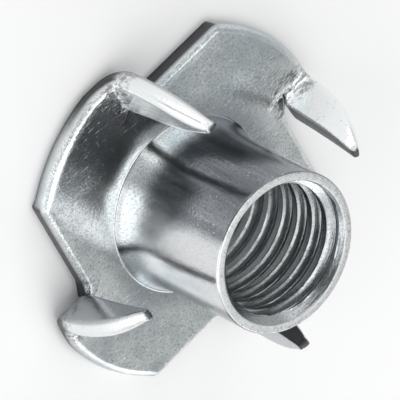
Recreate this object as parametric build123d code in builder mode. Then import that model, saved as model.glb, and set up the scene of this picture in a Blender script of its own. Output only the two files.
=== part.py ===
# Four-prong tee nut, drawn and bent from one piece of zinc-plated sheet steel.
# The origin is the centre of the flange's underside, and +Z runs along the barrel to its mouth.
import os
from math import cos, isclose, radians, sin, sqrt

from build123d import *

# Sheet and flange
flange_diameter = 20.0
sheet_thickness = 1.15
rim_flat = 0.15
rim_roll_radius = 0.3
corner_radius = 0.4

# Slits, bends and prongs
prong_count = 4
slit_gap = 0.1
bend_start = 0.94
bend_angle = 82.5
bend_inner_radius = 0.35
prong_width = 2.25
prong_height = 7.4
tip_radius = 0.32

# Bore, at the crest of the M8 thread that is formed in it
bore_diameter = 7.3
entry_radius = 1.1

# Barrel, drawn up from the middle of the sheet
barrel_wall = 0.95
barrel_height = 9.5
flare_step = 0.2
flare_height = 3.4
flare_slope = 7.0
foot_radius = 0.35
mouth_land = 0.475
mouth_edge_radius = 0.12

# One overrun for every cut
overrun = 1.0

# Worked out from the sizes above
flange_radius = flange_diameter / 2
prong_reach = flange_radius - rim_flat
prong_inner = prong_reach - prong_width
slit_offset = prong_inner - slit_gap
slit_half_chord = sqrt(flange_radius**2 - slit_offset**2)
bore_radius = bore_diameter / 2
entry_mouth_radius = bore_radius + entry_radius
barrel_radius = bore_radius + barrel_wall
chamfer_radius = barrel_radius - mouth_land
chamfer_foot = barrel_height - (chamfer_radius - bore_radius)
flare_radius = barrel_radius + flare_step
flare_top = sheet_thickness + flare_height
flare_tangent = (-sin(radians(flare_slope)), cos(radians(flare_slope)))
bend_axis_height = sheet_thickness + bend_inner_radius
bend_sine = sin(radians(bend_angle))
bend_cosine = cos(radians(bend_angle))
blade_foot_height = bend_axis_height - bend_inner_radius * bend_cosine
blade_length = (prong_height - blade_foot_height) / bend_sine
blade_plane = Plane(
    origin=(0, bend_start - bend_inner_radius * bend_sine, blade_foot_height),
    x_dir=(1, 0, 0),
    z_dir=(0, -bend_sine, -bend_cosine),
)
through_blade = Axis(blade_plane.origin, blade_plane.z_dir)


def is_bend_line(edge):
    """True for an edge of the flange that runs along one of the bend lines."""
    offsets = [min(abs(end.X), abs(end.Y)) for end in edge.vertices()]
    return all(isclose(offset, bend_start) for offset in offsets)


# Flange: what is left of the disc once the prongs are slit and bent out of it, its upper edge rolled
with BuildPart() as flange:
    with BuildSketch() as outline:
        Circle(flange_radius)
        Rectangle(2 * prong_reach, 2 * prong_reach, mode=Mode.INTERSECT)
        with PolarLocations(0, prong_count):
            with Locations((slit_offset, bend_start)):
                Rectangle(
                    flange_radius,
                    flange_diameter,
                    align=(Align.MIN, Align.MAX),
                    mode=Mode.SUBTRACT,
                )
        corners = outline.vertices().filter_by(lambda v: min(abs(v.X), abs(v.Y)) > slit_half_chord / 2)
        fillet(corners, radius=corner_radius)
    extrude(amount=sheet_thickness)
    upper_edges = flange.faces().sort_by(Axis.Z)[-1].edges()
    fillet(upper_edges.filter_by(is_bend_line, reverse=True), radius=rim_roll_radius)

# Blade of one prong: straight along its slit, round along the disc's old rim
with BuildPart() as blade:
    with BuildSketch(blade_plane):
        with BuildLine():
            Line((prong_inner, blade_length), (prong_inner, 0))
            Line((prong_inner, 0), (prong_reach, 0))
            TangentArc((prong_reach, 0), (prong_inner, blade_length), tangent=(0, 1))
        make_face()
    extrude(amount=sheet_thickness)
    fillet(blade.edges().filter_by(through_blade).sort_by(Axis.Z)[-1], radius=tip_radius)
    inner_edges = blade.faces().sort_by(through_blade)[0].edges().sort_by(Axis.Z)
    fillet(inner_edges[1:], radius=rim_roll_radius)

# One prong: the bend out of the flange, and the blade that stands on it
with BuildPart() as prong:
    with BuildSketch(Plane(origin=(0, bend_start, 0), x_dir=(1, 0, 0), z_dir=(0, -1, 0))) as strip:
        with Locations((prong_inner, 0)):
            Rectangle(prong_width, sheet_thickness, align=(Align.MIN, Align.MIN))
        fillet(strip.vertices().group_by(Axis.Y)[-1], radius=rim_roll_radius)
    revolve(axis=Axis((0, bend_start, bend_axis_height), (-1, 0, 0)), revolution_arc=bend_angle)
    add(blade.part)

# The whole nut
with BuildPart() as tee_nut:
    add(flange.part)
    with PolarLocations(0, prong_count):
        add(prong.part)

    # Barrel, flared where it leaves the flange
    with BuildSketch(Plane.XZ):
        with BuildLine():
            Polyline((0, 0), (entry_mouth_radius, 0), (flare_radius, sheet_thickness))
            Spline((flare_radius, sheet_thickness), (barrel_radius, flare_top), tangents=(flare_tangent, (0, 1)))
            Polyline((barrel_radius, flare_top), (barrel_radius, barrel_height), (0, barrel_height), (0, 0))
        make_face()
    revolve(axis=Axis.Z)
    foot_edges = tee_nut.edges().filter_by(GeomType.CIRCLE).filter_by_position(
        Axis.Z, sheet_thickness, sheet_thickness
    )
    fillet(foot_edges.sort_by(SortBy.LENGTH)[-1], radius=foot_radius)

    # Bore, opened at the foot by the drawn radius and at the mouth by a chamfer
    with BuildSketch(Plane.XZ):
        with BuildLine():
            Polyline((0, -overrun), (entry_mouth_radius, -overrun), (entry_mouth_radius, 0))
            RadiusArc((entry_mouth_radius, 0), (bore_radius, entry_radius), entry_radius)
            Polyline(
                (bore_radius, entry_radius),
                (bore_radius, chamfer_foot),
                (chamfer_radius, barrel_height),
                (chamfer_radius, barrel_height + overrun),
                (0, barrel_height + overrun),
                (0, -overrun),
            )
        make_face()
    revolve(axis=Axis.Z, mode=Mode.SUBTRACT)
    mouth_face = tee_nut.faces().filter_by(Axis.Z).sort_by(Axis.Z)[-1]
    fillet(mouth_face.edges().sort_by(SortBy.LENGTH)[-1], radius=mouth_edge_radius)

tee_nut.part.label = "tee_nut"

os.makedirs("parts", exist_ok=True)
export_step(tee_nut.part, "parts/tee_nut.step")
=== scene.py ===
"""Zinc-plated four-prong tee nut with its formed thread, on a pale studio floor."""

from math import asin, atan2, ceil, cos, pi, radians, sin, sqrt, tan

import bmesh
import bpy
import numpy as np
from mathutils import Matrix, Vector
from mathutils.geometry import delaunay_2d_cdt


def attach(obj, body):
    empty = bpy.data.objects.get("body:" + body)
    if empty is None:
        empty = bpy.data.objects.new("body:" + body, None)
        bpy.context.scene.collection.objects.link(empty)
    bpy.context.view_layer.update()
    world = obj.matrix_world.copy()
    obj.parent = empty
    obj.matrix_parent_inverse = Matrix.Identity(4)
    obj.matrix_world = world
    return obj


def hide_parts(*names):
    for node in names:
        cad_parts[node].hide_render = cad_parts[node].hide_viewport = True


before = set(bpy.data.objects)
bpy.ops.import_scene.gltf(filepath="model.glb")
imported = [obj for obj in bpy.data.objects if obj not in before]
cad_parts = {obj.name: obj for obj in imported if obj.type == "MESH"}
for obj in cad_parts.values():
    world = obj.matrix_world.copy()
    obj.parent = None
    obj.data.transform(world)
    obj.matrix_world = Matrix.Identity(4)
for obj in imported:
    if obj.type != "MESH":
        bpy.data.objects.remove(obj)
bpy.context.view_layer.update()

MM = 0.001

# Sheet, slits and prongs, in millimetres as in the model
RIM_R = 10.0
SHEET_T = 1.15
CORNER_R = 0.5
PRONGS = 4
SLIT_X = 7.5
SLIT_GAP = 0.1
SLIT_END_Y = 0.5
SLIT_SWING = 0.4
SLIT_SWING_RUN = 1.4
REACH = 9.85
PRONG_H = 7.4
TIP_R = 0.26
TIP_THIN_SHARE = 0.4
TIP_THIN_RUN = 2.6

# Bends of the prongs, and how far the sheet around them is drawn along
CAD_BEND_DEG = 82.5
BEND_Y = 0.94
BEND_INNER_R = 0.35
BEND_NEUTRAL_R = 0.92
BEND_EASE = 0.3
NECK = 1.2
NECK_FADE = 0.45
STRAIN_REACH = 2.6
STRAIN_FADE = 2.4

# Each prong's own bend angle, place of its bend, lean of its tip and stretch of its blade
BEND_DEG = (79.5, 85.0, 82.5, 84.5)
BEND_SHIFT = (0.0, 0.0, 0.0, -0.35)
TIP_LEAN = (-0.5, 0.0, -0.25, -0.4)
BLADE_STRETCH = (1.0, 1.06, 1.0, 1.06)

# Rolled upper edges, broken lower edges, and the share of sheared tone and painted shade that an edge shows
ROLL_R = 0.38
RIM_ROLL_R = 0.5
SLIT_ROLL_R = 0.42
TAB_ROLL_R = 0.14
ROOT_ROLL_R = 0.2
ROOT_ROLL_LEAST = 0.04
ROOT_ROLL_GROWTH = 0.3
ROLL_WIDTH_SHARE = 0.5
BURR_R = 0.05
BREAK_IN = 0.2
BREAK_Z = 0.6
BLADE_CUT_AND_SHADE_SHARE = 0.15
RIM_CUT_AND_SHADE_SHARE = 0.5
RIM_CUT_AND_SHADE_RUN = 0.7

# Barrel, bore and thread, with the thread's crest, flank and runout in shares of its pitch
BARREL_R = 4.6
BARREL_H = 9.5
FLARE_STEP = 0.42
FLARE_H = 3.4
FLARE_TOP = SHEET_T + FLARE_H
FLARE_POWER = 4.0
FOOT_R = 0.15
MOUTH_R = 4.125
MOUTH_EDGE_R = 0.12
MOUTH_LIP_R = 0.05
MOUTH_SLOPE = pi / 4
BORE_R = 3.65
ENTRY_R = 1.1
ROOT_R = 4.1
PITCH = 1.25
CREST_Z = 5.27
CREST_SHARE = 0.13
FLANK_SHARE = 0.22
RUNOUT_SHARE = 0.7

# Fineness of the mesh: counts of points, rows and smoothing passes
COLUMNS = 192
ROWS_PER_PITCH = 26
ARC_LEAST = 4
ROOT_ARC_LEAST = 6
ROLL_STEPS = 6
WALL_STEPS = 4
BURR_STEPS = 2
FOOT_POINTS = 10
FLARE_POINTS = 36
WALL_POINTS = 24
EDGE_POINTS = 6
LIP_POINTS = 4
ENTRY_POINTS = 14
BEND_POINTS = 241
ROLL_PASSES = 10
CUT_PASSES = 8
OUTWARD_PASSES = 2

# Fineness of the mesh: spacings and margins in millimetres, and gaps in shares of a spacing
OUTLINE_STEP = 0.085
CORNER_STEP = OUTLINE_STEP / 2
TIP_STEP = OUTLINE_STEP / 3
FLANGE_STEP = 0.3
TAB_STEP = 0.11
BLADE_STEP = TAB_STEP * 1.3
TAB_MARGIN_X = 0.4
TAB_MARGIN_Y = 0.35
NECK_ABOVE = 0.9
NECK_BELOW = 1.3
EDGE_GAP_SHARE = 0.5
HOLE_GAP_SHARE = 0.6
HOLE_SLACK = 0.98
ROW_END_SHARE = 0.4
MERGE_DISTANCE = 1e-7
POINTS_AT_ONCE = 1500
SHARP_DEG = 38

# Where the plating and its painted shade and sheen change: smooth steps along the height or out from the
# axis, in millimetres
BARREL_Z = (1.2, 1.7)
THREAD_R = (4.4, 4.2)
THREAD_Z = (0.6, 1.2)
SKIN_R = (4.3, 4.5)
SKIN_Z = (1.9, 3.4)
# Heights over which painted shade darkens the barrel towards its mouth
MOUTH_PAINTED_SHADE_Z = (5.0, 8.6)
LAND_Z = (9.46, 9.49)
# Where painted shade darkens the sheet's underside and the prongs' backs
UNDERSIDE_R = (4.6, 5.0)
UNDERSIDE_Z = (0.3, 0.08)
# Where painted shade darkens the flange around the barrel's foot
FOOT_SHADE_RING_R = (6.4, 5.2)
FOOT_SHADE_RING_Z = (0.9, 1.1)
# Painted sheen: the side of the barrel that the colour lightens, and how wide
PAINTED_SHEEN_DEG = 335
PAINTED_SHEEN_COS = (0.86, 0.94)

# Noise on the plating: cells for each millimetre along the sheet's axes, detail, roughness
GRAIN = ((9, 9, 9), 3.0, 0.65)
FLECK = ((9, 9, 9), 4.0, 0.75)
RINGS = ((0.35, 0.35, 7.0), 3.0, 0.55)
DRAW_LINES = ((7, 7, 0.45), 3.0, 0.55)
PEEL = ((6, 6, 6), 2.0, 0.5)
CREASE = ((2.2, 3.2, 2.2), 4.0, 0.7)
GRIT = ((8, 8, 8), 3.0, 0.6)
WIDE = ((0.9, 0.9, 0.55), 3.0, 0.6)
SHEAR_LINES = ((9, 9, 0.8), 2.0, 0.55)
SCUFFS = ((1.1, 16, 5), 2.0, 0.55)
SCUFFS_ACROSS = ((15, 0.9, 4), 2.0, 0.55)
TINT = ((0.14, 0.14, 0.14), 3.0, 0.6)
STREAKS = ((0.55, 0.55, 0.06), 4.0, 0.6)
FINE_STREAKS = ((2.6, 2.6, 0.12), 3.0, 0.65)
FORMING_MARKS = ((1, 1, 1), 3.0, 0.6)
# STREAK_SHIFT places the barrel's streaks where they stand in for painted reflections
STREAK_SHIFT = (14.6, 6.2, 0)
FORMING_FINENESS = 9.0
FORMING_ROUND = 2.4

# Spots: cells for each millimetre, the channel that is their chance, smooth steps of edge and chance
PITS = (2.6, 0, (0.16, 0.05), (0.55, 0.7))
SPECKS = (4.5, 1, (0.22, 0.12), (0.7, 0.8))

# Smooth steps from a noise or a mesh value to a share
TINT_STEP = (0.35, 0.65)
WIDE_STEP = (0.4, 0.66)
FLECK_STEP = (0.47, 0.68)
SCUFF_STEP = (0.66, 0.74)
SCUFF_ACROSS_STEP = (0.67, 0.75)
STREAK_STEP = (0.38, 0.62)
FINE_STREAK_STEP = (0.4, 0.66)
STRAIN_STEP = (0.72, 0.95)
CREASE_STEP = (0.46, 0.6)
GRIT_EDGE_STEP = (0.0, 0.3)
CLEAN_EDGE_STEP = (0.1, 0.02)
SHEARED_POWER = 3.0

# Bump heights in micrometres
MICROMETRE = 1e-6
GRAIN_UM = 4.5
RINGS_UM = 3.0
DRAW_LINES_UM = 3.5
PEEL_UM = 18.0
SHEAR_LINES_UM = 6.0
GRIT_UM = 55.0
FORMING_MARKS_UM = 12.0
WIDE_UM = 14.0
SCUFFS_UM = -2.0
PITS_UM = -3.0

# Colours of the plating, and layers over it, some of them painted shade or sheen: the most that each covers,
# and its colour
BLUE_ZINC = (0.62, 0.675, 0.7, 1)
PALE_ZINC = (0.86, 0.89, 0.89, 1)
# Dark and light tones of the barrel's drawn streaks, dark enough to stand in part for painted reflections
DARK_SKIN_AND_SHADE = (0.13, 0.14, 0.16, 1)
LIGHT_SKIN_AND_SHEEN = (0.5, 0.52, 0.56, 1)
FLANGE_FLECK = (0.27, 0.29, 0.31, 1)
BARREL_FLECK = (0.08, 0.085, 0.09, 1)
WORKED = (1.0, (0.87, 0.89, 0.89, 1))
DULL = (0.35, (0.5, 0.54, 0.56, 1))
# Painted shade on the sheet's underside and the prongs' backs
UNDERSIDE_SHADE = (0.8, (0.36, 0.38, 0.4, 1))
# Painted shade: the barrel's skin darkens towards the mouth
MOUTH_PAINTED_SHADE = (0.5, (0.1, 0.107, 0.12, 1))
# Painted sheen down one side of the barrel
PAINTED_SHEEN = (0.85, (0.84, 0.85, 0.86, 1))
# Painted shade inside the bore
BORE_SHADE = (0.8, (0.44, 0.46, 0.47, 1))
LAND = (1.0, (0.72, 0.74, 0.74, 1))
# Painted shade in the corner around the barrel's foot
FOOT_SHADE_RING = (0.45, (0.26, 0.27, 0.29, 1))
CREASED = (0.75, (0.2, 0.21, 0.24, 1))
SPECK = (0.8, (0.85, 0.87, 0.88, 1))
# Sheared edges: duller cut metal, darkened nearly to black as painted shade
SHEARED_TONE_AND_SHADE = (0.95, (0.06, 0.062, 0.066, 1))
STAIN = (0.5, (0.2, 0.21, 0.22, 1))
SKIN_SHARE = 0.9
STREAK_SHARE = 0.7
FINE_STREAK_SHARE = 0.3
FLECK_SHARE = 0.75
WORKED_CLEAN_SHARE = 0.9
PAINTED_SHEEN_CLEAN_SHARE = 0.7
SCUFF_STAIN_SHARE = 0.35

# Roughness of the plating, and what is added to it
ROUGHNESS = 0.13
GRAIN_ROUGHNESS = 0.08
SHEARED_ROUGHNESS = 0.16
BORE_ROUGHNESS = 0.06
LAND_ROUGHNESS = 0.2

# Floor and sky, with each softbox: azimuth, elevation, half widths and soft edge in degrees, tint, strength
FLOOR_SIZE = 6.0
FLOOR_COLOR = (0.95, 0.95, 0.95, 1)
DOME = (0.62, 0.625, 0.63, 1)
WHITE = (1.0, 1.0, 1.0)
COOL = (0.97, 1.0, 1.0)
ALL_ROUND = 180
SOFTBOXES = (
    (240, 18, 32, 18, 10, WHITE, 1.5),
    (345, 20, 34, 20, 10, WHITE, 1.9),
    (80, 24, 20, 12, 8, WHITE, 2.4),
    (115, 48, 28, 8, 8, COOL, 0.46),
    (40, 50, 34, 7, 6, WHITE, 1.5),
    (60, 70, 90, 12, 16, WHITE, 2.2),
    (0, 85, ALL_ROUND, 11, 8, WHITE, 2.4),
    (265, 48, 105, 8, 6, WHITE, 0.02),
    (290, 56, 45, 9, 8, WHITE, 0.02),
)

# Camera at the photograph's angle: degrees, then millimetres across the view and off the axis
VIEW_AZIMUTH = 294.67
VIEW_ELEVATION = 45.9
VIEW_ROLL = 117.22
VIEW_WIDTH = 21.56
AIM_RIGHT = 1.35
AIM_UP = -0.2
CAMERA_DISTANCE = 0.6
CAMERA_CLIP_START = 0.01
SENSOR_WIDTH = 36.0


def smooth(u):
    """Smooth step from 0 to 1."""
    u = np.clip(u, 0, 1)
    return u * u * (3 - 2 * u)


def smoothed(values, passes):
    """Values around a closed loop, each averaged with its two neighbours."""
    for _ in range(passes):
        values = (np.roll(values, 1) + values + np.roll(values, -1)) / 3
    return values


def line_points(a, b, step):
    """Points from a towards b, without b."""
    a, b = np.array(a, float), np.array(b, float)
    n = max(1, ceil(np.linalg.norm(b - a) / step))
    return [tuple(a + (b - a) * i / n) for i in range(n)]


def arc_points(centre, radius, start, end, step, least=ARC_LEAST):
    """Points along an arc from angle start towards end, without its last point."""
    n = max(least, ceil(abs(end - start) * radius / step))
    angles = [start + (end - start) * i / n for i in range(n)]
    return [(centre[0] + radius * cos(a), centre[1] + radius * sin(a)) for a in angles]


# Flat pattern: the disc with its slits, before the prongs are bent up
cad_bend = radians(CAD_BEND_DEG)
tab_x = SLIT_X + SLIT_GAP
bend_span = BEND_NEUTRAL_R * cad_bend
axis_z = SHEET_T + BEND_INNER_R
foot_z = axis_z - BEND_INNER_R * cos(cad_bend)
blade_l = (PRONG_H - foot_z) / sin(cad_bend)
blade_foot_y = BEND_Y - bend_span
blade_r = ((REACH - tab_x) ** 2 + blade_l**2) / (2 * (REACH - tab_x))
blade_cx = REACH - blade_r
tip_cx = tab_x + TIP_R
tip_along = sqrt((blade_r - TIP_R) ** 2 - (tip_cx - blade_cx) ** 2)
tip_c = (tip_cx, blade_foot_y - tip_along)
tip_angle = -asin(tip_along / (blade_r - TIP_R))
corner_c = (SLIT_X - CORNER_R, -sqrt((RIM_R - CORNER_R) ** 2 - (SLIT_X - CORNER_R) ** 2))
corner_angle = atan2(corner_c[1], corner_c[0])
rim_start = atan2(sqrt(RIM_R**2 - REACH**2), REACH)
rim_end = corner_angle + pi / 2
root_r = SLIT_GAP / 2
root_c = (SLIT_X + SLIT_SWING + root_r, SLIT_END_Y)
quarter = []


def swing(y):
    """How far the slit has swung out at a place along it, towards its rounded end."""
    return SLIT_SWING * smooth((y - SLIT_END_Y) / SLIT_SWING_RUN + 1)


def add_run(points, on_tab, roll):
    """Adds a run of points to the flat pattern's quarter."""
    quarter.extend((p, on_tab, roll) for p in points)


slit_line = line_points((SLIT_X, corner_c[1]), (SLIT_X, SLIT_END_Y), OUTLINE_STEP)
tab_line = line_points((tab_x, SLIT_END_Y), (tab_x, tip_c[1]), OUTLINE_STEP)
blade_arc = arc_points((blade_cx, blade_foot_y), blade_r, tip_angle, 0, OUTLINE_STEP)
bend_line = line_points((REACH, blade_foot_y), (REACH, BEND_Y), OUTLINE_STEP)
rim_line = line_points((REACH, BEND_Y), (REACH, RIM_R * sin(rim_start)), OUTLINE_STEP)
add_run(arc_points(corner_c, CORNER_R, corner_angle, 0, CORNER_STEP), False, SLIT_ROLL_R)
add_run([(x + swing(y), y) for x, y in slit_line], False, SLIT_ROLL_R)
add_run(arc_points(root_c, root_r, pi, 0, OUTLINE_STEP, ROOT_ARC_LEAST), False, ROOT_ROLL_R)
add_run([(x + swing(y), y) for x, y in tab_line], True, TAB_ROLL_R)
add_run(arc_points(tip_c, TIP_R, -pi, tip_angle, TIP_STEP), True, ROOT_ROLL_R)
add_run(blade_arc, True, ROLL_R)
add_run(bend_line, True, ROLL_R)
add_run(rim_line, False, RIM_ROLL_R)
add_run(arc_points((0, 0), RIM_R, rim_start, rim_end, OUTLINE_STEP), False, RIM_ROLL_R)


def turned(points, quarter_turns):
    """Points of the XY plane turned about the origin by quarter turns."""
    a = quarter_turns * pi / 2
    turn = np.array([[cos(a), sin(a)], [-sin(a), cos(a)]])
    return np.asarray(points, float) @ turn


def tab_width(along):
    """Width of a prong at a distance along its blade from the bend's end."""
    along = np.clip(along, 0, tip_along)
    return blade_cx + np.sqrt(blade_r**2 - along**2) - tab_x


# Along the quarter: the roll of its upper edge, the break of its lower one, and its sheared tone with painted
# shade
quarter_xy = np.array([p for p, _, _ in quarter])
quarter_tab = np.array([t for _, t, _ in quarter])
quarter_roll = np.array([r for _, _, r in quarter])
on_rim = quarter_roll == RIM_ROLL_R
on_blade = quarter_tab & (quarter_xy[:, 1] < blade_foot_y) & (quarter_roll == ROLL_R)
quarter_break = np.where(on_rim | (quarter_roll == ROLL_R), BREAK_IN, BURR_R)
# The sheared tone and painted shade fade along the rim's arc
rim_way = (np.arctan2(quarter_xy[:, 1], quarter_xy[:, 0]) - rim_start) / (rim_end - rim_start)
rim_cut_and_shade = 1 - (1 - RIM_CUT_AND_SHADE_SHARE) * smooth(rim_way / RIM_CUT_AND_SHADE_RUN)
quarter_cut_and_shade = np.where(on_blade, BLADE_CUT_AND_SHADE_SHARE, np.where(on_rim, rim_cut_and_shade, 1.0))
quarter_roll = smoothed(quarter_roll, ROLL_PASSES)
quarter_break = smoothed(quarter_break, ROLL_PASSES)
quarter_cut_and_shade = smoothed(quarter_cut_and_shade, CUT_PASSES)
from_root = np.linalg.norm(quarter_xy - np.array(root_c), axis=1)
quarter_roll = np.minimum(quarter_roll, ROOT_ROLL_LEAST + ROOT_ROLL_GROWTH * from_root)
along_blade = np.where(quarter_tab, blade_foot_y - quarter_xy[:, 1], 0)
narrow_roll = np.minimum(quarter_roll, ROLL_WIDTH_SHARE * tab_width(along_blade))
quarter_roll = np.where(quarter_tab, narrow_roll, quarter_roll)

# The whole outline, and the way out of the metal at each of its points
outline = np.concatenate([turned(quarter_xy, k) for k in range(PRONGS)])
outline_tab = np.concatenate([np.where(quarter_tab, k, -1) for k in range(PRONGS)])
outline_roll = np.tile(quarter_roll, PRONGS)
outline_break = np.tile(quarter_break, PRONGS)
outline_cut_and_shade = np.tile(quarter_cut_and_shade, PRONGS)
tangent = np.roll(outline, -1, 0) - np.roll(outline, 1, 0)
tangent /= np.linalg.norm(tangent, axis=1)[:, None]
outward = np.stack([tangent[:, 1], -tangent[:, 0]], 1)
for _ in range(OUTWARD_PASSES):
    outward = outward + (np.roll(outward, 1, 0) + np.roll(outward, -1, 0)) / 2
    outward /= np.linalg.norm(outward, axis=1)[:, None]

# Mesh in the making: flat coordinates, the prong each point belongs to, and its share of sheared edge and
# painted shade
verts, prong_of, edge_share = [], [], []
faces = []


def add_verts(points, prong, edge):
    """Adds points and returns their indices."""
    start = len(verts)
    verts.extend(map(tuple, points))
    prong_of.extend(prong)
    edge_share.extend(edge)
    return list(range(start, len(verts)))


def add_ring(inset, z, edge):
    """Adds the outline, drawn in by inset, at height z."""
    points = np.column_stack([outline - outward * inset[:, None], z])
    return add_verts(points, outline_tab, edge * outline_cut_and_shade)


def bridge(a, b):
    """Quads between two closed rows of equal length."""
    n = len(a)
    for i in range(n):
        j = (i + 1) % n
        faces.append((a[i], b[i], b[j], a[j]))


def inside(points, loop):
    """Even-odd test of points against a closed loop."""
    result = np.zeros(len(points), bool)
    x, y = points[:, 0], points[:, 1]
    for (x1, y1), (x2, y2) in zip(loop, np.roll(loop, -1, 0)):
        if y1 != y2:
            crosses = (y1 > y) != (y2 > y)
            result ^= crosses & (x < (x2 - x1) * (y - y1) / (y2 - y1) + x1)
    return result


def clear_of(points, loop, gap):
    """True where a point keeps its distance from every point of a loop."""
    keep = np.ones(len(points), bool)
    for part in np.array_split(np.arange(len(points)), max(1, len(points) // POINTS_AT_ONCE)):
        d = points[part][:, None, :] - loop[None, :, :]
        keep[part] = (d**2).sum(2).min(1) > gap**2
    return keep


def grid_points(xs, ys):
    """Points of a grid."""
    return np.stack(np.meshgrid(xs, ys), 2).reshape(-1, 2)


neck_top = BEND_Y + NECK_ABOVE
neck_foot = SLIT_END_Y - NECK_BELOW


def flange_points(loop, hole_r):
    """Points of a level face between the prongs and the round hole, in staggered rows."""
    span = np.arange(-RIM_R, RIM_R, FLANGE_STEP)
    rows = []
    for i, y in enumerate(span):
        rows.append(np.column_stack([span + FLANGE_STEP / 2 * (i % 2), np.full(len(span), y)]))
    points = np.concatenate(rows)
    at_prong = np.zeros(len(points), bool)
    for k in range(PRONGS):
        x, y = turned(points, -k).T
        at_prong |= (x > SLIT_X - TAB_MARGIN_X) & (y < BEND_Y + TAB_MARGIN_Y)
        at_prong |= (x > SLIT_X - NECK) & (y < neck_top) & (y > neck_foot)
    off_hole = np.linalg.norm(points, axis=1) > hole_r + FLANGE_STEP * HOLE_GAP_SHARE
    points = points[~at_prong & off_hole]
    return points[clear_of(points, loop, FLANGE_STEP * EDGE_GAP_SHARE)]


def prong_points():
    """Points of one prong and of the sheet about its bend, and which of them are on the prong."""
    neck_xs = np.arange(SLIT_X - NECK, REACH, TAB_STEP)
    neck_ys = np.arange(neck_top, neck_foot, -TAB_STEP)
    blade_xs = np.arange(tab_x, REACH, TAB_STEP)
    blade_ys = np.arange(neck_foot, tip_c[1], -BLADE_STEP)
    points = np.concatenate([grid_points(neck_xs, neck_ys), grid_points(blade_xs, blade_ys)])
    slit_xs = SLIT_X + swing(points[:, 1])
    return points, (points[:, 1] < SLIT_END_Y) & (points[:, 0] > slit_xs)


def fill(ring, hole, z, flip):
    """Fills a level face between the outline's ring and a round hole, with points of its own inside."""
    loop = np.array([verts[i][:2] for i in ring])
    bore = np.array([verts[i][:2] for i in hole])
    hole_r = np.linalg.norm(bore[0])
    pieces = [flange_points(loop, hole_r)]
    owners = [np.full(len(pieces[0]), -1)]
    tab, on_tab = prong_points()
    for k in range(PRONGS):
        own = turned(tab, k)
        keep = clear_of(own, loop, TAB_STEP * EDGE_GAP_SHARE)
        pieces.append(own[keep])
        owners.append(np.where(on_tab, k, -1)[keep])
    extra, owner = np.concatenate(pieces), np.concatenate(owners)
    keep = inside(extra, loop)
    extra, owner = extra[keep], owner[keep]
    level = np.column_stack([extra, np.full(len(extra), z)])
    ids = ring + hole + add_verts(level, owner, [0.0] * len(extra))
    points = [Vector(p) for p in np.concatenate([loop, bore, extra])]
    n, m = len(ring), len(hole)
    edges = [(i, (i + 1) % n) for i in range(n)] + [(n + i, n + (i + 1) % m) for i in range(m)]
    out, _, tris, source, _, _ = delaunay_2d_cdt(points, edges, [], 0, MERGE_DISTANCE, True)
    out_xy = np.array([tuple(p) for p in out])
    tris = np.array([t for t in tris if len(t) == 3])
    centre = out_xy[tris].mean(1)
    off_hole = np.linalg.norm(centre, axis=1) > hole_r * HOLE_SLACK
    keep = inside(centre, loop) & ~inside(centre, bore) & off_hole
    for t in tris[keep]:
        face = [ids[source[i][0]] for i in t]
        faces.append(tuple(face[::-1] if flip else face))


# Rolled upper edge, sheared wall and the small burr edge below
rings = []
for i in range(ROLL_STEPS + 1):
    a = pi / 2 * i / ROLL_STEPS
    roll_z = SHEET_T - outline_roll * (1 - cos(a))
    rings.append(add_ring(outline_roll * (1 - sin(a)), roll_z, i / ROLL_STEPS))
burr = np.full(len(outline), BURR_R)
for i in range(1, WALL_STEPS + 1):
    share = i / WALL_STEPS
    wall_z = (SHEET_T - outline_roll) * (1 - share) + BURR_R * share
    rings.append(add_ring(outline_break * smooth(1 - wall_z / BREAK_Z), wall_z, 1.0))
for i in range(1, BURR_STEPS + 1):
    a = pi / 2 * i / BURR_STEPS
    burr_inset = outline_break + burr * (1 - cos(a))
    rings.append(add_ring(burr_inset, BURR_R - burr * sin(a), 1 - i / BURR_STEPS))
for upper, lower in zip(rings, rings[1:]):
    bridge(upper, lower)
top_ring, bottom_ring = rings[0], rings[-1]

# Barrel and bore, turned about the axis
column_angles = np.arange(COLUMNS) * 2 * pi / COLUMNS


def add_circle(r, z):
    """Adds one circle of the barrel."""
    x, y = r * np.cos(column_angles), r * np.sin(column_angles)
    return add_verts(np.column_stack([x, y, np.full(COLUMNS, z)]), [-1] * COLUMNS, [0.0] * COLUMNS)


def flare_r(z):
    """Radius of the barrel's flare at a height: a trumpet that opens towards the flange."""
    return BARREL_R + FLARE_STEP * np.clip((FLARE_TOP - z) / FLARE_H, 0, 1) ** FLARE_POWER


flare_turn = pi / 2 - atan2(FLARE_STEP * FLARE_POWER, FLARE_H)
foot_centre_r = BARREL_R + FLARE_STEP + FOOT_R * tan(flare_turn / 2)
profile = []
for a in np.linspace(0, flare_turn, FOOT_POINTS):
    profile.append((foot_centre_r - FOOT_R * sin(a), SHEET_T + FOOT_R * (1 - cos(a))))
foot_end_r, foot_end_z = profile[-1]
flare_shift = foot_end_r - flare_r(foot_end_z)
for z in np.linspace(foot_end_z, FLARE_TOP, FLARE_POINTS)[1:]:
    fade = 1 - (z - foot_end_z) / (FLARE_TOP - foot_end_z)
    profile.append((float(flare_r(z)) + flare_shift * fade**2, z))
for z in np.linspace(FLARE_TOP, BARREL_H - MOUTH_EDGE_R, WALL_POINTS)[1:]:
    profile.append((BARREL_R, z))
for a in np.linspace(0, pi / 2, EDGE_POINTS)[1:]:
    profile.append((BARREL_R - MOUTH_EDGE_R * (1 - cos(a)), BARREL_H - MOUTH_EDGE_R * (1 - sin(a))))
profile.append(((BARREL_R - MOUTH_EDGE_R + MOUTH_R) / 2, BARREL_H))
for a in np.linspace(0, MOUTH_SLOPE, LIP_POINTS):
    lip_r = MOUTH_R + MOUTH_LIP_R * (tan(MOUTH_SLOPE / 2) - sin(a))
    profile.append((lip_r, BARREL_H - MOUTH_LIP_R * (1 - cos(a))))
circles = [add_circle(r, z) for r, z in profile]
for lower, upper in zip(circles, circles[1:]):
    bridge(upper, lower)
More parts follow.
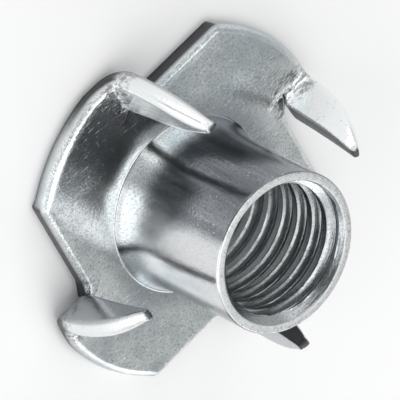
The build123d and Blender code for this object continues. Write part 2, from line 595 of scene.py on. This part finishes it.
foot_circle, thread_top = circles[0], circles[-1]
thread_top_z = profile[-1][1]

# Thread, on rows that follow its helix
thread_bottom_z = ENTRY_R
thread_bottom = add_circle(BORE_R, thread_bottom_z)
phase_z = CREST_Z % PITCH
first_row = int((thread_bottom_z - phase_z - PITCH) / PITCH * ROWS_PER_PITCH) - 1
last_row = int((thread_top_z - phase_z) / PITCH * ROWS_PER_PITCH) + 2
row_gap = PITCH / ROWS_PER_PITCH
thread_ids = {}


def thread_share(phase):
    """Depth of the thread at a phase of its pitch, 0 at the crest and 1 at the root."""
    distance = abs((phase + 0.5) % 1 - 0.5)
    return smooth((distance - CREST_SHARE) / FLANK_SHARE)


def thread_vert(i, j):
    """Index of the thread's point at column i and helix row j, drawn to the end circles beyond them."""
    if i == COLUMNS:
        i, j = 0, j + ROWS_PER_PITCH
    z = phase_z + row_gap * j + PITCH * i / COLUMNS
    if z < thread_bottom_z + ROW_END_SHARE * row_gap:
        return thread_bottom[i]
    if z > thread_top_z - ROW_END_SHARE * row_gap:
        return thread_top[i]
    if (i, j) not in thread_ids:
        runout = min(max((z - thread_bottom_z) / (RUNOUT_SHARE * PITCH), 0), 1)
        depth = thread_share((j % ROWS_PER_PITCH) / ROWS_PER_PITCH) * runout
        r = max(BORE_R + (ROOT_R - BORE_R) * depth, MOUTH_R - (BARREL_H - z))
        a = column_angles[i]
        thread_ids[i, j] = add_verts([(r * cos(a), r * sin(a), z)], [-1], [0.0])[0]
    return thread_ids[i, j]


for i in range(COLUMNS):
    for j in range(first_row, last_row + 1):
        corners = [thread_vert(i, j), thread_vert(i, j + 1)]
        corners += [thread_vert(i + 1, j + 1), thread_vert(i + 1, j)]
        unique = list(dict.fromkeys(corners))
        if len(unique) >= 3:
            faces.append(tuple(unique))

# Drawn entry below the thread
entry = [thread_bottom]
for a in np.linspace(0, pi / 2, ENTRY_POINTS)[1:]:
    entry.append(add_circle(BORE_R + ENTRY_R * (1 - cos(a)), ENTRY_R * (1 - sin(a))))
for upper, lower in zip(entry, entry[1:]):
    bridge(upper, lower)

# Level faces of the sheet
fill(top_ring, foot_circle, SHEET_T, False)
fill(bottom_ring, entry[-1], 0.0, True)

# Bending the prongs up: the sheet turns gently into the bend, and the slit's end is drawn up with it
neutral_z = axis_z - BEND_NEUTRAL_R
bend_runs = np.linspace(-BEND_EASE, bend_span + BEND_EASE, BEND_POINTS)


def bend_tables(bend):
    """Angle, way along Y and rise of the sheet's neutral line through the bend."""
    angle = bend * smooth((bend_runs + BEND_EASE) / (bend_span + 2 * BEND_EASE))
    gap = bend_runs[1] - bend_runs[0]
    mid = (angle[1:] + angle[:-1]) / 2
    way = np.concatenate([[0], np.cumsum(np.cos(mid) * gap)]) - BEND_EASE
    rise = np.concatenate([[0], np.cumsum(np.sin(mid) * gap)])
    plain_way = BEND_NEUTRAL_R * sin(bend) + BEND_EASE * cos(bend)
    plain_rise = BEND_NEUTRAL_R * (1 - cos(bend)) + BEND_EASE * sin(bend)
    off = (way[-1] - plain_way) * sin(bend) + (rise[-1] - plain_rise) * cos(bend)
    return angle, way - off / sin(bend), rise


def bent(run, height, tables):
    """Place in the bend's own plane of sheet points at a run past the bend line and a height in the sheet."""
    angle_t, way_t, rise_t = tables
    angle = np.interp(run, bend_runs, angle_t)
    before = np.minimum(run + BEND_EASE, 0)
    beyond = np.maximum(run - bend_runs[-1], 0)
    way = np.interp(run, bend_runs, way_t) + before + beyond * np.cos(angle)
    rise = np.interp(run, bend_runs, rise_t) + beyond * np.sin(angle)
    up = height - neutral_z
    return BEND_Y - way + up * np.sin(angle), neutral_z + rise + up * np.cos(angle)


flat = np.array(verts, float)
flat_z = flat[:, 2]
prong_of = np.array(prong_of)
on_flange = prong_of == -1
shape = flat.copy()
strain = np.zeros(len(flat))
worked = np.zeros(len(flat))
for k in range(PRONGS):
    tables = bend_tables(radians(BEND_DEG[k]))
    on_prong = prong_of == k
    local_x, local_y = turned(flat[:, :2], -k).T
    bend_y = BEND_Y + BEND_SHIFT[k]
    root_run = bend_y - SLIT_END_Y
    run = bend_y - local_y
    run = run + np.maximum(run - bend_span, 0) * (BLADE_STRETCH[k] - 1)

    # The prong's own points, thinned and leaning towards the tip
    to_tip = np.clip((local_y - tip_c[1]) / TIP_THIN_RUN, 0, 1)
    thinned_z = flat_z * (1 - TIP_THIN_SHARE * (1 - to_tip) ** 2)
    prong_y, prong_z = bent(run, np.where(on_prong, thinned_z, flat_z), tables)
    prong_y = prong_y + BEND_SHIFT[k]
    lean = TIP_LEAN[k] * np.clip((run - bend_span) / blade_l, 0, 1) ** 2

    # The flange's points by the slit's end, which follow the bend in part
    held_run = np.minimum(run, root_run)
    held_y, held_z = bent(held_run, flat_z, tables)
    fade = np.exp(-((np.maximum(run - root_run, 0) / NECK_FADE) ** 2))
    share = smooth((local_x - tab_x + NECK) / NECK) * fade
    x = local_x + np.where(on_prong, lean, 0)
    y = np.where(on_prong, prong_y, local_y + share * (held_y - (BEND_Y - held_run)))
    z = np.where(on_prong, prong_z, flat_z + share * (held_z - flat_z))
    moved = on_prong | (on_flange & (local_x > tab_x - NECK) & (run > -BEND_EASE))
    shape[moved, :2] = turned(np.column_stack([x, y]), k)[moved]
    shape[moved, 2] = z[moved]

    # How much the metal is stretched, and where the prong's skin is worked
    across = smooth((local_x - tab_x + STRAIN_REACH) / STRAIN_REACH)
    around = across * smooth(run / STRAIN_REACH + 1)
    faded = 1 - smooth((run - bend_span) / STRAIN_FADE)
    strain = np.where(on_prong | on_flange, np.maximum(strain, around * faded), strain)
    by_prong = on_prong | (on_flange & (run < bend_span))
    worked = np.where(by_prong, np.maximum(worked, around), worked)

mesh = bpy.data.meshes.new("tee_nut_body")
mesh.from_pydata([tuple(p) for p in shape * MM], [], faces)
work = bmesh.new()
work.from_mesh(mesh)
bmesh.ops.recalc_face_normals(work, faces=work.faces)
work.to_mesh(mesh)
work.free()


def add_attribute(name, kind, field, values):
    """Gives each point of the mesh a value that the plating reads."""
    attribute = mesh.attributes.new(name, kind, "POINT")
    attribute.data.foreach_set(field, np.array(values, np.float32).ravel())


add_attribute("sheet", "FLOAT_VECTOR", "vector", flat * MM)
add_attribute("sheared", "FLOAT", "value", edge_share)
add_attribute("strain", "FLOAT", "value", strain)
add_attribute("worked", "FLOAT", "value", worked)
mesh.polygons.foreach_set("use_smooth", [True] * len(mesh.polygons))
mesh.set_sharp_from_angle(angle=radians(SHARP_DEG))
nut = bpy.data.objects.new("tee_nut_body", mesh)
bpy.context.scene.collection.objects.link(nut)
weighted = nut.modifiers.new("weighted", "WEIGHTED_NORMAL")
weighted.keep_sharp = True
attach(nut, "root")
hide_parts("tee_nut")


class Nodes:
    """Short ways to add nodes to one tree."""

    def __init__(self, tree):
        self.tree = tree

    def add(self, kind):
        """One shader node."""
        return self.tree.nodes.new("ShaderNode" + kind)

    def put(self, socket, value):
        """Links an output to a socket, or sets the socket's own value."""
        if isinstance(value, bpy.types.NodeSocket):
            self.tree.links.new(value, socket)
        else:
            socket.default_value = value

    def maths(self, operation, *values):
        """One Math node."""
        node = self.add("Math")
        node.operation = operation
        for socket, value in zip(node.inputs, values):
            self.put(socket, value)
        return node.outputs[0]

    def times(self, first, *others):
        """Product of two or more values."""
        for other in others:
            first = self.maths("MULTIPLY", first, other)
        return first

    def plus(self, first, *others):
        """Sum of two or more values."""
        for other in others:
            first = self.maths("ADD", first, other)
        return first

    def rest_of(self, share):
        """What a share leaves of one."""
        return self.maths("SUBTRACT", 1.0, share)

    def steps(self, value, limits):
        """Smooth step of a value, from 0 at the first limit to 1 at the second."""
        node = self.add("MapRange")
        node.interpolation_type = "SMOOTHSTEP"
        self.put(node.inputs["Value"], value)
        node.inputs["From Min"].default_value, node.inputs["From Max"].default_value = limits
        return node.outputs["Result"]

    def split(self, vector):
        """The three parts of a vector."""
        node = self.add("SeparateXYZ")
        self.put(node.inputs[0], vector)
        return node.outputs

    def joined(self, *values):
        """A vector of three values."""
        node = self.add("CombineXYZ")
        for socket, value in zip(node.inputs, values):
            self.put(socket, value)
        return node.outputs[0]

    def vector_maths(self, operation, vector, by):
        """A vector scaled or moved along each axis."""
        node = self.add("VectorMath")
        node.operation = operation
        self.put(node.inputs[0], vector)
        node.inputs[1].default_value = by
        return node.outputs[0]

    def noise(self, vector, scale, detail, rough):
        """Noise on a scaled vector, about 0 to 1."""
        node = self.add("TexNoise")
        self.put(node.inputs["Vector"], self.vector_maths("MULTIPLY", vector, scale))
        node.inputs["Scale"].default_value = 1.0
        node.inputs["Detail"].default_value = detail
        node.inputs["Roughness"].default_value = rough
        return node.outputs["Fac"]

    def spots(self, vector, scale, channel, edge, chance):
        """Round spots about random points, of which chance leaves some out."""
        cells = self.add("TexVoronoi")
        cells.inputs["Scale"].default_value = scale
        self.put(cells.inputs["Vector"], vector)
        colours = self.add("SeparateColor")
        self.put(colours.inputs[0], cells.outputs["Color"])
        spot = self.steps(cells.outputs["Distance"], edge)
        return self.times(spot, self.steps(colours.outputs[channel], chance))

    def attribute(self, name):
        """A mesh attribute's outputs."""
        node = self.add("Attribute")
        node.attribute_name = name
        return node.outputs

    def blend(self, factor, a, b):
        """Mix of two colours."""
        node = self.add("Mix")
        node.data_type = "RGBA"
        for name, value in (("Factor", factor), ("A", a), ("B", b)):
            self.put(node.inputs[name], value)
        return node.outputs["Result"]

    def laid(self, layer, mask, colour):
        """A colour with a layer over it where a mask says."""
        most, top = layer
        return self.blend(self.times(mask, most), colour, top)


# Zinc plating
zinc = bpy.data.materials.new("zinc_plate")
zinc.use_nodes = True
plate = Nodes(zinc.node_tree)
shader = zinc.node_tree.nodes["Principled BSDF"]

# Places on the flat sheet in millimetres, so that the grain follows the metal through its bends
sheet = plate.vector_maths("MULTIPLY", plate.attribute("sheet")["Vector"], (1 / MM,) * 3)
sheet_x, sheet_y, sheet_z = plate.split(sheet)
from_axis = plate.maths("SQRT", plate.plus(plate.times(sheet_x, sheet_x), plate.times(sheet_y, sheet_y)))
around_axis = plate.maths("ARCTAN2", sheet_y, sheet_x)
on_barrel = plate.steps(sheet_z, BARREL_Z)
off_barrel = plate.rest_of(on_barrel)
in_bore = plate.times(plate.steps(from_axis, THREAD_R), plate.steps(sheet_z, THREAD_Z))
outside = plate.times(plate.steps(sheet_z, SKIN_Z), plate.steps(from_axis, SKIN_R))
land = plate.steps(sheet_z, LAND_Z)
below = plate.times(plate.steps(sheet_z, UNDERSIDE_Z), plate.steps(from_axis, UNDERSIDE_R))
foot_shade_ring = plate.times(plate.steps(from_axis, FOOT_SHADE_RING_R), plate.steps(sheet_z, FOOT_SHADE_RING_Z), off_barrel)
from_painted_sheen_side = plate.maths("SUBTRACT", around_axis, radians(PAINTED_SHEEN_DEG))
painted_sheen_side = plate.steps(plate.maths("COSINE", from_painted_sheen_side), PAINTED_SHEEN_COS)
at_edge = plate.attribute("sheared")["Fac"]
sheared = plate.maths("POWER", at_edge, SHEARED_POWER)
strained = plate.attribute("strain")["Fac"]
prong_skin = plate.attribute("worked")["Fac"]

# Grain of the plating, drawn rings on the flange, draw lines along the barrel, stretched skin on the bends
grain = plate.noise(sheet, *GRAIN)
fleck = plate.noise(sheet, *FLECK)
rings_drawn = plate.noise(plate.joined(sheet_x, sheet_y, from_axis), *RINGS)
draw_lines = plate.noise(sheet, *DRAW_LINES)
peel = plate.noise(sheet, *PEEL)
crease = plate.noise(sheet, *CREASE)
grit = plate.noise(sheet, *GRIT)
wide = plate.noise(sheet, *WIDE)
shear_lines = plate.noise(sheet, *SHEAR_LINES)
scuffs = plate.steps(plate.noise(sheet, *SCUFFS), SCUFF_STEP)
scuffs_across = plate.steps(plate.noise(sheet, *SCUFFS_ACROSS), SCUFF_ACROSS_STEP)
pits = plate.spots(sheet, *PITS)
specks = plate.spots(sheet, *SPECKS)
along_x = plate.times(plate.maths("COSINE", around_axis), FORMING_ROUND)
along_y = plate.times(plate.maths("SINE", around_axis), FORMING_ROUND)
bore_height = plate.plus(plate.times(sheet_z, FORMING_FINENESS), along_y)
bore_place = plate.joined(plate.times(from_axis, FORMING_FINENESS), along_x, bore_height)
forming_marks = plate.noise(bore_place, *FORMING_MARKS)

# Fine relief
relief = plate.plus(
    plate.times(grain, GRAIN_UM),
    plate.times(rings_drawn, RINGS_UM, off_barrel),
    plate.times(draw_lines, DRAW_LINES_UM, on_barrel),
    plate.times(peel, PEEL_UM, strained),
    plate.times(shear_lines, SHEAR_LINES_UM, sheared),
    plate.times(grit, GRIT_UM, plate.steps(at_edge, GRIT_EDGE_STEP)),
    plate.times(forming_marks, FORMING_MARKS_UM, in_bore),
    plate.times(wide, WIDE_UM),
    plate.times(plate.plus(scuffs, scuffs_across), SCUFFS_UM),
    plate.times(pits, PITS_UM),
)
bump = plate.add("Bump")
bump.inputs["Strength"].default_value = 1.0
bump.inputs["Distance"].default_value = MICROMETRE
plate.put(bump.inputs["Height"], relief)
plate.put(shader.inputs["Normal"], bump.outputs["Normal"])

# The barrel's drawn skin: streaks along it, darkened and placed to stand in part for reflections, with
# painted shade towards the mouth and painted sheen down one side
streak_place = plate.vector_maths("ADD", sheet, STREAK_SHIFT)
streaks = plate.steps(plate.noise(streak_place, *STREAKS), STREAK_STEP)
fine_streaks = plate.steps(plate.noise(streak_place, *FINE_STREAKS), FINE_STREAK_STEP)
streaks_and_painted_reflections = plate.plus(plate.times(streaks, STREAK_SHARE), plate.times(fine_streaks, FINE_STREAK_SHARE))
# Drawn streaks, partly painted reflections: dark and light bands on the barrel
barrel_skin_and_painted_light = plate.blend(streaks_and_painted_reflections, DARK_SKIN_AND_SHADE, LIGHT_SKIN_AND_SHEEN)
# Painted shade towards the barrel's mouth
barrel_skin_and_painted_light = plate.laid(MOUTH_PAINTED_SHADE, plate.steps(sheet_z, MOUTH_PAINTED_SHADE_Z), barrel_skin_and_painted_light)
# Painted sheen down one side of the barrel
barrel_skin_and_painted_light = plate.laid(PAINTED_SHEEN, painted_sheen_side, barrel_skin_and_painted_light)

# Colour, from the plain plating up, with painted shade and sheen laid in
colour = plate.blend(plate.steps(plate.noise(sheet, *TINT), TINT_STEP), BLUE_ZINC, PALE_ZINC)
colour = plate.laid(WORKED, prong_skin, colour)
colour = plate.laid(DULL, plate.times(plate.steps(wide, WIDE_STEP), plate.rest_of(prong_skin)), colour)
# Painted shade on the sheet's underside and the prongs' backs
colour = plate.laid(UNDERSIDE_SHADE, below, colour)
colour = plate.blend(plate.times(outside, SKIN_SHARE), colour, barrel_skin_and_painted_light)
# Painted shade inside the bore
colour = plate.laid(BORE_SHADE, in_bore, colour)
colour = plate.laid(LAND, land, colour)
# Painted shade on the flange around the barrel's foot
colour = plate.laid(FOOT_SHADE_RING, foot_shade_ring, colour)
unworked = plate.rest_of(plate.times(prong_skin, WORKED_CLEAN_SHARE))
# Flecks are thinned where the painted sheen lies
off_painted_sheen_side = plate.rest_of(plate.times(painted_sheen_side, outside, PAINTED_SHEEN_CLEAN_SHARE))
flecked = plate.times(plate.steps(fleck, FLECK_STEP), FLECK_SHARE, unworked, off_painted_sheen_side)
flecked = plate.times(flecked, plate.steps(at_edge, CLEAN_EDGE_STEP))
colour = plate.blend(flecked, colour, plate.blend(outside, FLANGE_FLECK, BARREL_FLECK))
creased = plate.times(plate.steps(strained, STRAIN_STEP), plate.steps(crease, CREASE_STEP))
colour = plate.laid(CREASED, creased, colour)
colour = plate.laid(SPECK, specks, colour)
# Sheared edges: partly duller cut metal, partly painted shade, nearly black
colour = plate.laid(SHEARED_TONE_AND_SHADE, sheared, colour)
stained = plate.maths("MAXIMUM", pits, plate.times(scuffs, SCUFF_STAIN_SHARE))
colour = plate.laid(STAIN, stained, colour)
plate.put(shader.inputs["Base Color"], colour)
shader.inputs["Metallic"].default_value = 1.0
roughness = plate.plus(
    plate.times(grain, GRAIN_ROUGHNESS),
    plate.times(sheared, SHEARED_ROUGHNESS),
    plate.times(in_bore, BORE_ROUGHNESS),
    plate.times(land, LAND_ROUGHNESS),
    ROUGHNESS,
)
plate.put(shader.inputs["Roughness"], roughness)
mesh.materials.append(zinc)

# Pale floor
bpy.ops.mesh.primitive_plane_add(size=FLOOR_SIZE)
floor = bpy.context.object
floor.name = "floor"
floor_mat = bpy.data.materials.new("floor")
floor_mat.use_nodes = True
floor_shader = floor_mat.node_tree.nodes["Principled BSDF"]
floor_shader.inputs["Base Color"].default_value = FLOOR_COLOR
floor_shader.inputs["Roughness"].default_value = 1.0
floor_shader.inputs["Specular IOR Level"].default_value = 0.0
floor.data.materials.append(floor_mat)

# Studio: a soft dome with a few softboxes, and two dark fields on the photographer's side
world = bpy.data.worlds.new("studio")
world.use_nodes = True
studio = Nodes(world.node_tree)
sky_x, sky_y, sky_z = studio.split(studio.add("TexCoord").outputs["Generated"])
azimuth = studio.maths("ARCTAN2", sky_y, sky_x)
elevation = studio.maths("ARCSINE", sky_z)


def within(angle, half_width, edge):
    """Share of a softbox at an angle off its middle, with a soft edge; widths in degrees."""
    off_middle = studio.maths("ABSOLUTE", angle)
    return studio.steps(off_middle, (radians(half_width + edge / 2), radians(half_width - edge / 2)))


sky = DOME
for az, el, az_half, el_half, edge, tint, strength in SOFTBOXES:
    cover = within(studio.maths("SUBTRACT", elevation, radians(el)), el_half, edge)
    if az_half < ALL_ROUND:
        off_azimuth = studio.maths("WRAP", studio.maths("SUBTRACT", azimuth, radians(az)), pi, -pi)
        cover = studio.times(cover, within(off_azimuth, az_half, edge))
    sky = studio.blend(cover, sky, tuple(c * strength for c in tint) + (1,))
studio.put(world.node_tree.nodes["Background"].inputs["Color"], sky)
bpy.context.scene.world = world

# Camera at the photograph's angle
view_az, view_el, view_roll = radians(VIEW_AZIMUTH), radians(VIEW_ELEVATION), radians(VIEW_ROLL)
view = Vector((cos(view_el) * cos(view_az), cos(view_el) * sin(view_az), sin(view_el)))
level = Vector((-sin(view_az), cos(view_az), 0))
right = level * cos(view_roll) + view.cross(level) * sin(view_roll)
up = view.cross(right)
aim = (right * AIM_RIGHT + up * AIM_UP) * MM
camera_data = bpy.data.cameras.new("camera")
camera_data.sensor_width = SENSOR_WIDTH
camera_data.lens = SENSOR_WIDTH * CAMERA_DISTANCE / (VIEW_WIDTH * MM)
camera_data.clip_start = CAMERA_CLIP_START
camera = bpy.data.objects.new("camera", camera_data)
turn = Matrix((right, up, view)).transposed().to_4x4()
camera.matrix_world = Matrix.Translation(aim + view * CAMERA_DISTANCE) @ turn
bpy.context.scene.collection.objects.link(camera)
bpy.context.scene.camera = camera
bpy.context.scene.view_settings.view_transform = "Standard"
